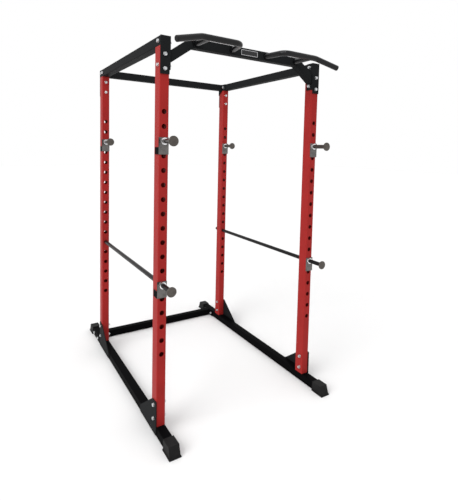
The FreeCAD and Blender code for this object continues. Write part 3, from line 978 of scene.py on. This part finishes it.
@dataclass
class Catches:
    """Bar catches and safety bars."""

    shop: Workshop
    edge: float = 0.0007
    rod_edge: float = 0.00035
    rod: float = 0.025
    collar: float = 0.038
    collar_long: float = 0.010
    collar_ease: float = 0.0015
    collar_cut: float = 0.3
    collar_steps: int = 48
    sleeve: float = 0.0002
    wing_from: float = 0.5351
    wing_turn: float = 0.9

    def build(self) -> None:
        """Finish pegs, rods, saddles and discs."""
        stems = [f"catch_{end.value}_{side.value}" for side in Side for end in End]
        for stem in stems:
            self._fitting(stem, "_peg")
        for side in Side:
            self._fitting("safety_" + side.value, "_rod")

    def _fitting(self, stem: str, rod: str) -> None:
        """Finish the pieces of one fitting.

        Args:
            stem: Name of its body.
            rod: Ending of its peg or rod.
        """
        self.shop.eased(stem + rod, self.rod_edge)
        # The outer wing gets black faces as painted shade
        self._paint_wing_shade(self.shop.eased(stem + "_saddle", self.edge))
        # The disc's finish darkens the plated steel: painted dark reflection
        self.shop.eased(stem + "_disc", self.rod_edge, finish="disc steel with painted dark reflection")
        self._collar(stem)

    def _paint_wing_shade(self, saddle: bpy.types.Object) -> None:
        """Give the flat sides of the saddle's outer wing the black powder coat: painted shade on a
        wing that is the same plated steel as the plate.

        Args:
            saddle: The saddle piece.
        """
        saddle.data.materials.append(self.shop.materials["black_powder_coat"])
        for face in saddle.data.polygons:
            if abs(face.center.x) > self.wing_from and abs(face.normal.x) > self.wing_turn:
                face.material_index = 1

    def _collar(self, stem: str) -> None:
        """Rounded chrome sleeve over the saddle's collar.

        Args:
            stem: Name of its body.
        """
        saddle = self.shop.copied(stem + "_saddle")
        disc = self.shop.copied(stem + "_disc")
        face = min(vert.co.y for vert in saddle.verts)
        low = Vector(min(vert.co[axis] for vert in disc.verts) for axis in range(3))
        high = Vector(max(vert.co[axis] for vert in disc.verts) for axis in range(3))
        saddle.free()
        disc.free()
        middle = (low + high) / 2
        long, ease = self.collar_long, self.collar_ease
        cut = ease * self.collar_cut
        inner, outer = self.rod / 2 + self.sleeve, self.collar / 2 + self.sleeve
        outline = [(inner, 0.0), (outer, 0.0), (outer, long - ease), (outer - cut, long - cut),
                   (outer - ease, long), (inner, long)]
        at = Vector((middle.x, face + long - self.sleeve, middle.z))
        ring = turned(outline, self.collar_steps)
        bmesh.ops.transform(ring, matrix=facing(Vector((0, -1, 0)), at), verts=ring.verts)
        self.shop.piece(stem + "_collar", ring, "plated_steel", stem, finish="collar chrome")


@dataclass
class Fasteners:
    """Hex bolts, nuts and washers, shaped one by one where the solids stand."""

    shop: Workshop
    flats: float = 0.016
    bolt: float = 0.010
    pitch: float = 0.0015
    head: float = 0.0064
    nut: float = 0.0084
    chamfer: float = 0.0006
    thread_gap: float = 0.00005
    threaded: float = 0.022
    thread_deep: float = 0.0007
    root_at: float = 0.3
    crest_at: float = 0.8
    tip: float = 0.001
    tucked: float = 0.0004
    shank_steps: int = 20
    bore_steps: int = 24
    washer: float = 0.020
    washer_bore: float = 0.011
    washer_ease: float = 0.0003
    washer_steps: int = 32
    sharp: float = 28.0

    def build(self) -> None:
        """Make finer fasteners for every group."""
        for stem in ("gusset", "crossmember", "bracket", "rail"):
            self._group(stem + "_bolts", self._bolt)
            self._group(stem + "_nuts", self._nut)
        self._group("washers", self._ring)

    def _group(self, node: str,
               shape: Callable[[Vector, Vector], tuple[bmesh.types.BMesh, Matrix]]) -> None:
        """Shape each solid of a node and stand the result in for it.

        Args:
            node: The CAD node.
            shape: Makes one solid from its box.
        """
        merged = self.shop.copied(node)
        whole = bmesh.new()
        for low, high in islands(merged):
            made, matrix = shape(low, high)
            joined(whole, made, matrix)
        merged.free()
        self.shop.piece(node + "_finish", whole, self.shop.slots[node], "frame", [node], self.sharp)

    def _flat(self, low: Vector, high: Vector) -> tuple[float, Matrix]:
        """Place a nut or a washer, which is thinnest along its axis.

        Args:
            low: Lowest corner of its box.
            high: Highest corner of its box.

        Returns:
            Its thickness, and the matrix that stands a shape from Z = 0 in its place.
        """
        size = high - low
        axis = min(range(3), key=lambda each: size[each])
        direction = Vector((0, 0, 0))
        direction[axis] = 1.0
        start = (low + high) / 2
        start[axis] = low[axis]
        return size[axis], facing(direction, start)

    def _bevel(self, mesh: bmesh.types.BMesh, edges: list[bmesh.types.BMEdge]) -> None:
        """Chamfer the rims of a hexagon.

        Args:
            mesh: The hexagon's mesh.
            edges: Its rims.
        """
        bmesh.ops.bevel(mesh, geom=edges, offset=self.chamfer, offset_type="OFFSET", segments=2,
                        profile=0.5, affect="EDGES", material=-1)

    def _head(self) -> bmesh.types.BMesh:
        """Hexagonal bolt head from Z = 0 with chamfered corners at the top.

        Returns:
            The head.
        """
        radius = self.flats / math.sqrt(3)
        mesh = bmesh.new()
        bmesh.ops.create_cone(mesh, cap_ends=True, segments=6, radius1=radius, radius2=radius,
                              depth=self.head, matrix=Matrix.Translation((0, 0, self.head / 2)))
        self._bevel(mesh, [edge for edge in mesh.edges
                           if all(vert.co.z > self.head - TOUCH for vert in edge.verts)])
        return mesh

    def _bolt(self, low: Vector, high: Vector) -> tuple[bmesh.types.BMesh, Matrix]:
        """Hex bolt: chamfered head, plain shank and rounded thread rings near its end.

        Args:
            low: Lowest corner of its box.
            high: Highest corner of its box.

        Returns:
            The bolt, and the matrix that puts it in place.
        """
        size = high - low
        axis = max(range(3), key=lambda each: size[each])
        start = (low + high) / 2
        length = high[axis] - low[axis] - self.head
        inward = -1.0 if start[axis] > 0 and axis != 1 else 1.0
        direction = Vector((0, 0, 0))
        direction[axis] = inward
        start[axis] = low[axis] + self.head if inward > 0 else high[axis] - self.head
        radius = self.bolt / 2
        root = radius - self.thread_deep
        thread_from = length - self.threaded
        profile = [(0.0, -self.tucked), (radius, -self.tucked), (radius, thread_from)]
        for i in range(int((length - self.tip - thread_from) / self.pitch)):
            at = thread_from + i * self.pitch
            profile += [(root, at + self.pitch * self.root_at),
                        (radius, at + self.pitch * self.crest_at), (radius, at + self.pitch)]
        profile += [(radius - self.tip, length), (0.0, length)]
        whole = bmesh.new()
        joined(whole, self._head(), Matrix.Rotation(math.pi, 4, "X"))
        joined(whole, lathe(profile, self.shank_steps), Matrix.Identity(4))
        return whole, facing(direction, start)

    def _nut(self, low: Vector, high: Vector) -> tuple[bmesh.types.BMesh, Matrix]:
        """Hex nut with both ends chamfered and a bore.

        Args:
            low: Lowest corner of its box.
            high: Highest corner of its box.

        Returns:
            The nut, and the matrix that puts it in place.
        """
        return self._pierced(self.nut), self._flat(low, high)[1]

    def _pierced(self, height: float) -> bmesh.types.BMesh:
        """Hexagonal ring with chamfered rims round a round bore.

        Args:
            height: Its height.

        Returns:
            The ring, standing on Z = 0.
        """
        mesh = bmesh.new()
        outer = self.flats / math.sqrt(3)
        middle = Matrix.Translation((0, 0, height / 2))
        for steps, radius in ((6, outer), (self.bore_steps, self.bolt / 2 + self.thread_gap)):
            bmesh.ops.create_cone(mesh, cap_ends=False, segments=steps, radius1=radius,
                                  radius2=radius, depth=height, matrix=middle)
        for level in (0.0, height):
            rims = [edge for edge in mesh.edges
                    if all(abs(vert.co.z - level) < LEVEL for vert in edge.verts)]
            bmesh.ops.bridge_loops(mesh, edges=rims)
        self._bevel(mesh, [edge for edge in mesh.edges
                           if all(vert.co.xy.length > outer - TOUCH for vert in edge.verts)
                           and abs(edge.verts[0].co.z - edge.verts[1].co.z) < LEVEL])
        bmesh.ops.recalc_face_normals(mesh, faces=mesh.faces)
        return mesh

    def _ring(self, low: Vector, high: Vector) -> tuple[bmesh.types.BMesh, Matrix]:
        """Flat washer with rounded rims.

        Args:
            low: Lowest corner of its box.
            high: Highest corner of its box.

        Returns:
            The washer, and the matrix that puts it in place.
        """
        thick, matrix = self._flat(low, high)
        inner, outer, ease = self.washer_bore / 2, self.washer / 2, self.washer_ease
        outline = [(inner, 0.0), (outer - ease, 0.0), (outer, ease), (outer, thick - ease),
                   (outer - ease, thick), (inner, thick)]
        return turned(outline, self.washer_steps), matrix


# ---- stage ----------------------------------------------------------------------------------


@dataclass
class Stage:
    """Plain floor, soft light and the camera."""

    floor_size: float = 60.0
    floor_tone: float = 0.765
    floor_rough: float = 0.7
    floor_sheen: float = 0.1
    key_from: tuple[float, float, float] = (-0.76, -0.2, 0.62)
    key_strength: float = 1.85
    key_spread: float = 40.0
    glint_at: tuple[float, float, float] = (-1.2, -2.4, 3.9)
    glint_to: tuple[float, float, float] = (0.0, -0.6, 1.6)
    glint_size: float = 0.5
    glint_power: float = 14.0
    camera_at: tuple[float, float, float] = (-1.3028, -2.6308, 1.5382)
    right: tuple[float, float, float] = (0.836405, -0.547507, 0.02575)
    down: tuple[float, float, float] = (-0.017451, -0.073557, -0.997138)
    forward: tuple[float, float, float] = (0.547834, 0.833562, -0.071078)
    focal: float = 407.03
    centre: tuple[float, float] = (245.47, 179.94)
    sensor: float = 36.0
    reach: float = 100.0

    def build(self) -> None:
        """Set up the stage."""
        self._floor()
        self._lights()
        self._camera()
        view = bpy.context.scene.view_settings
        view.view_transform = "Standard"
        view.look = "None"

    def _floor(self) -> None:
        """Large pale floor."""
        mesh = bmesh.new()
        bmesh.ops.create_grid(mesh, x_segments=1, y_segments=1, size=self.floor_size / 2)
        data = bpy.data.meshes.new("floor")
        mesh.to_mesh(data)
        mesh.free()
        floor = bpy.data.objects.new("floor", data)
        bpy.context.scene.collection.objects.link(floor)
        tree = Tree("pale floor")
        tone = (self.floor_tone,) * 3
        finish = tree.finish({"Base Color": (*tone, 1.0), "Roughness": self.floor_rough,
                              "Specular IOR Level": self.floor_sheen})
        data.materials.append(finish)

    def _lights(self) -> None:
        """White surroundings, a broad soft key light and a small lamp for the glints."""
        world = bpy.data.worlds.new("studio")
        bpy.context.scene.world = world
        world.use_nodes = True
        back = world.node_tree.nodes["Background"]
        back.inputs["Color"].default_value = (1.0, 1.0, 1.0, 1.0)
        back.inputs["Strength"].default_value = 1.0
        key = self._lamp("key", "SUN", self.key_strength, Vector((0, 0, 0)), Vector(self.key_from))
        key.angle = math.radians(self.key_spread)
        spot = Vector(self.glint_at)
        aim = spot - Vector(self.glint_to)
        glint = self._lamp("glint", "AREA", self.glint_power, spot, aim)
        glint.size = self.glint_size

    def _lamp(self, name: str, kind: str, power: float, spot: Vector,
              back: Vector) -> bpy.types.Light:
        """Add a light.

        Args:
            name: Its name.
            kind: Its type.
            power: Its energy.
            spot: Where it is.
            back: Direction from what it lights towards the light.

        Returns:
            The light's data.
        """
        data = bpy.data.lights.new(name, kind)
        data.energy = power
        lamp = bpy.data.objects.new(name, data)
        lamp.location = spot
        lamp.rotation_euler = back.to_track_quat("Z", "Y").to_euler()
        bpy.context.scene.collection.objects.link(lamp)
        return data

    def _camera(self) -> None:
        """Camera at the viewing angle, with the small shift that the framing needs."""
        data = bpy.data.cameras.new("camera")
        data.sensor_width = self.sensor
        data.sensor_fit = "AUTO"
        longest = max(IMAGE_WIDE, IMAGE_HIGH)
        data.lens = self.focal * data.sensor_width / longest
        data.shift_x = -(self.centre[0] - IMAGE_WIDE / 2) / longest
        data.shift_y = (self.centre[1] - IMAGE_HIGH / 2) / longest
        data.clip_end = self.reach
        camera = bpy.data.objects.new("camera", data)
        rows = (Vector(self.right), -Vector(self.down), -Vector(self.forward))
        turn = Matrix((rows[0], rows[1], rows[2])).transposed().to_4x4()
        camera.matrix_world = Matrix.Translation(self.camera_at) @ turn
        bpy.context.scene.collection.objects.link(camera)
        bpy.context.scene.camera = camera


def main() -> None:
    """Build every sub-assembly in order."""
    logging.basicConfig(level=logging.INFO, format="%(name)s: %(message)s")
    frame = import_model()
    shop = Workshop(frame)
    parts = (FrameSteel(shop), Welds(shop), Grips(shop), Feet(shop), Catches(shop),
             Fasteners(shop))
    for part in parts:
        part.build()
        LOG.info("built %s", type(part).__name__)
    Stage().build()


if __name__ == "__main__":
    main()
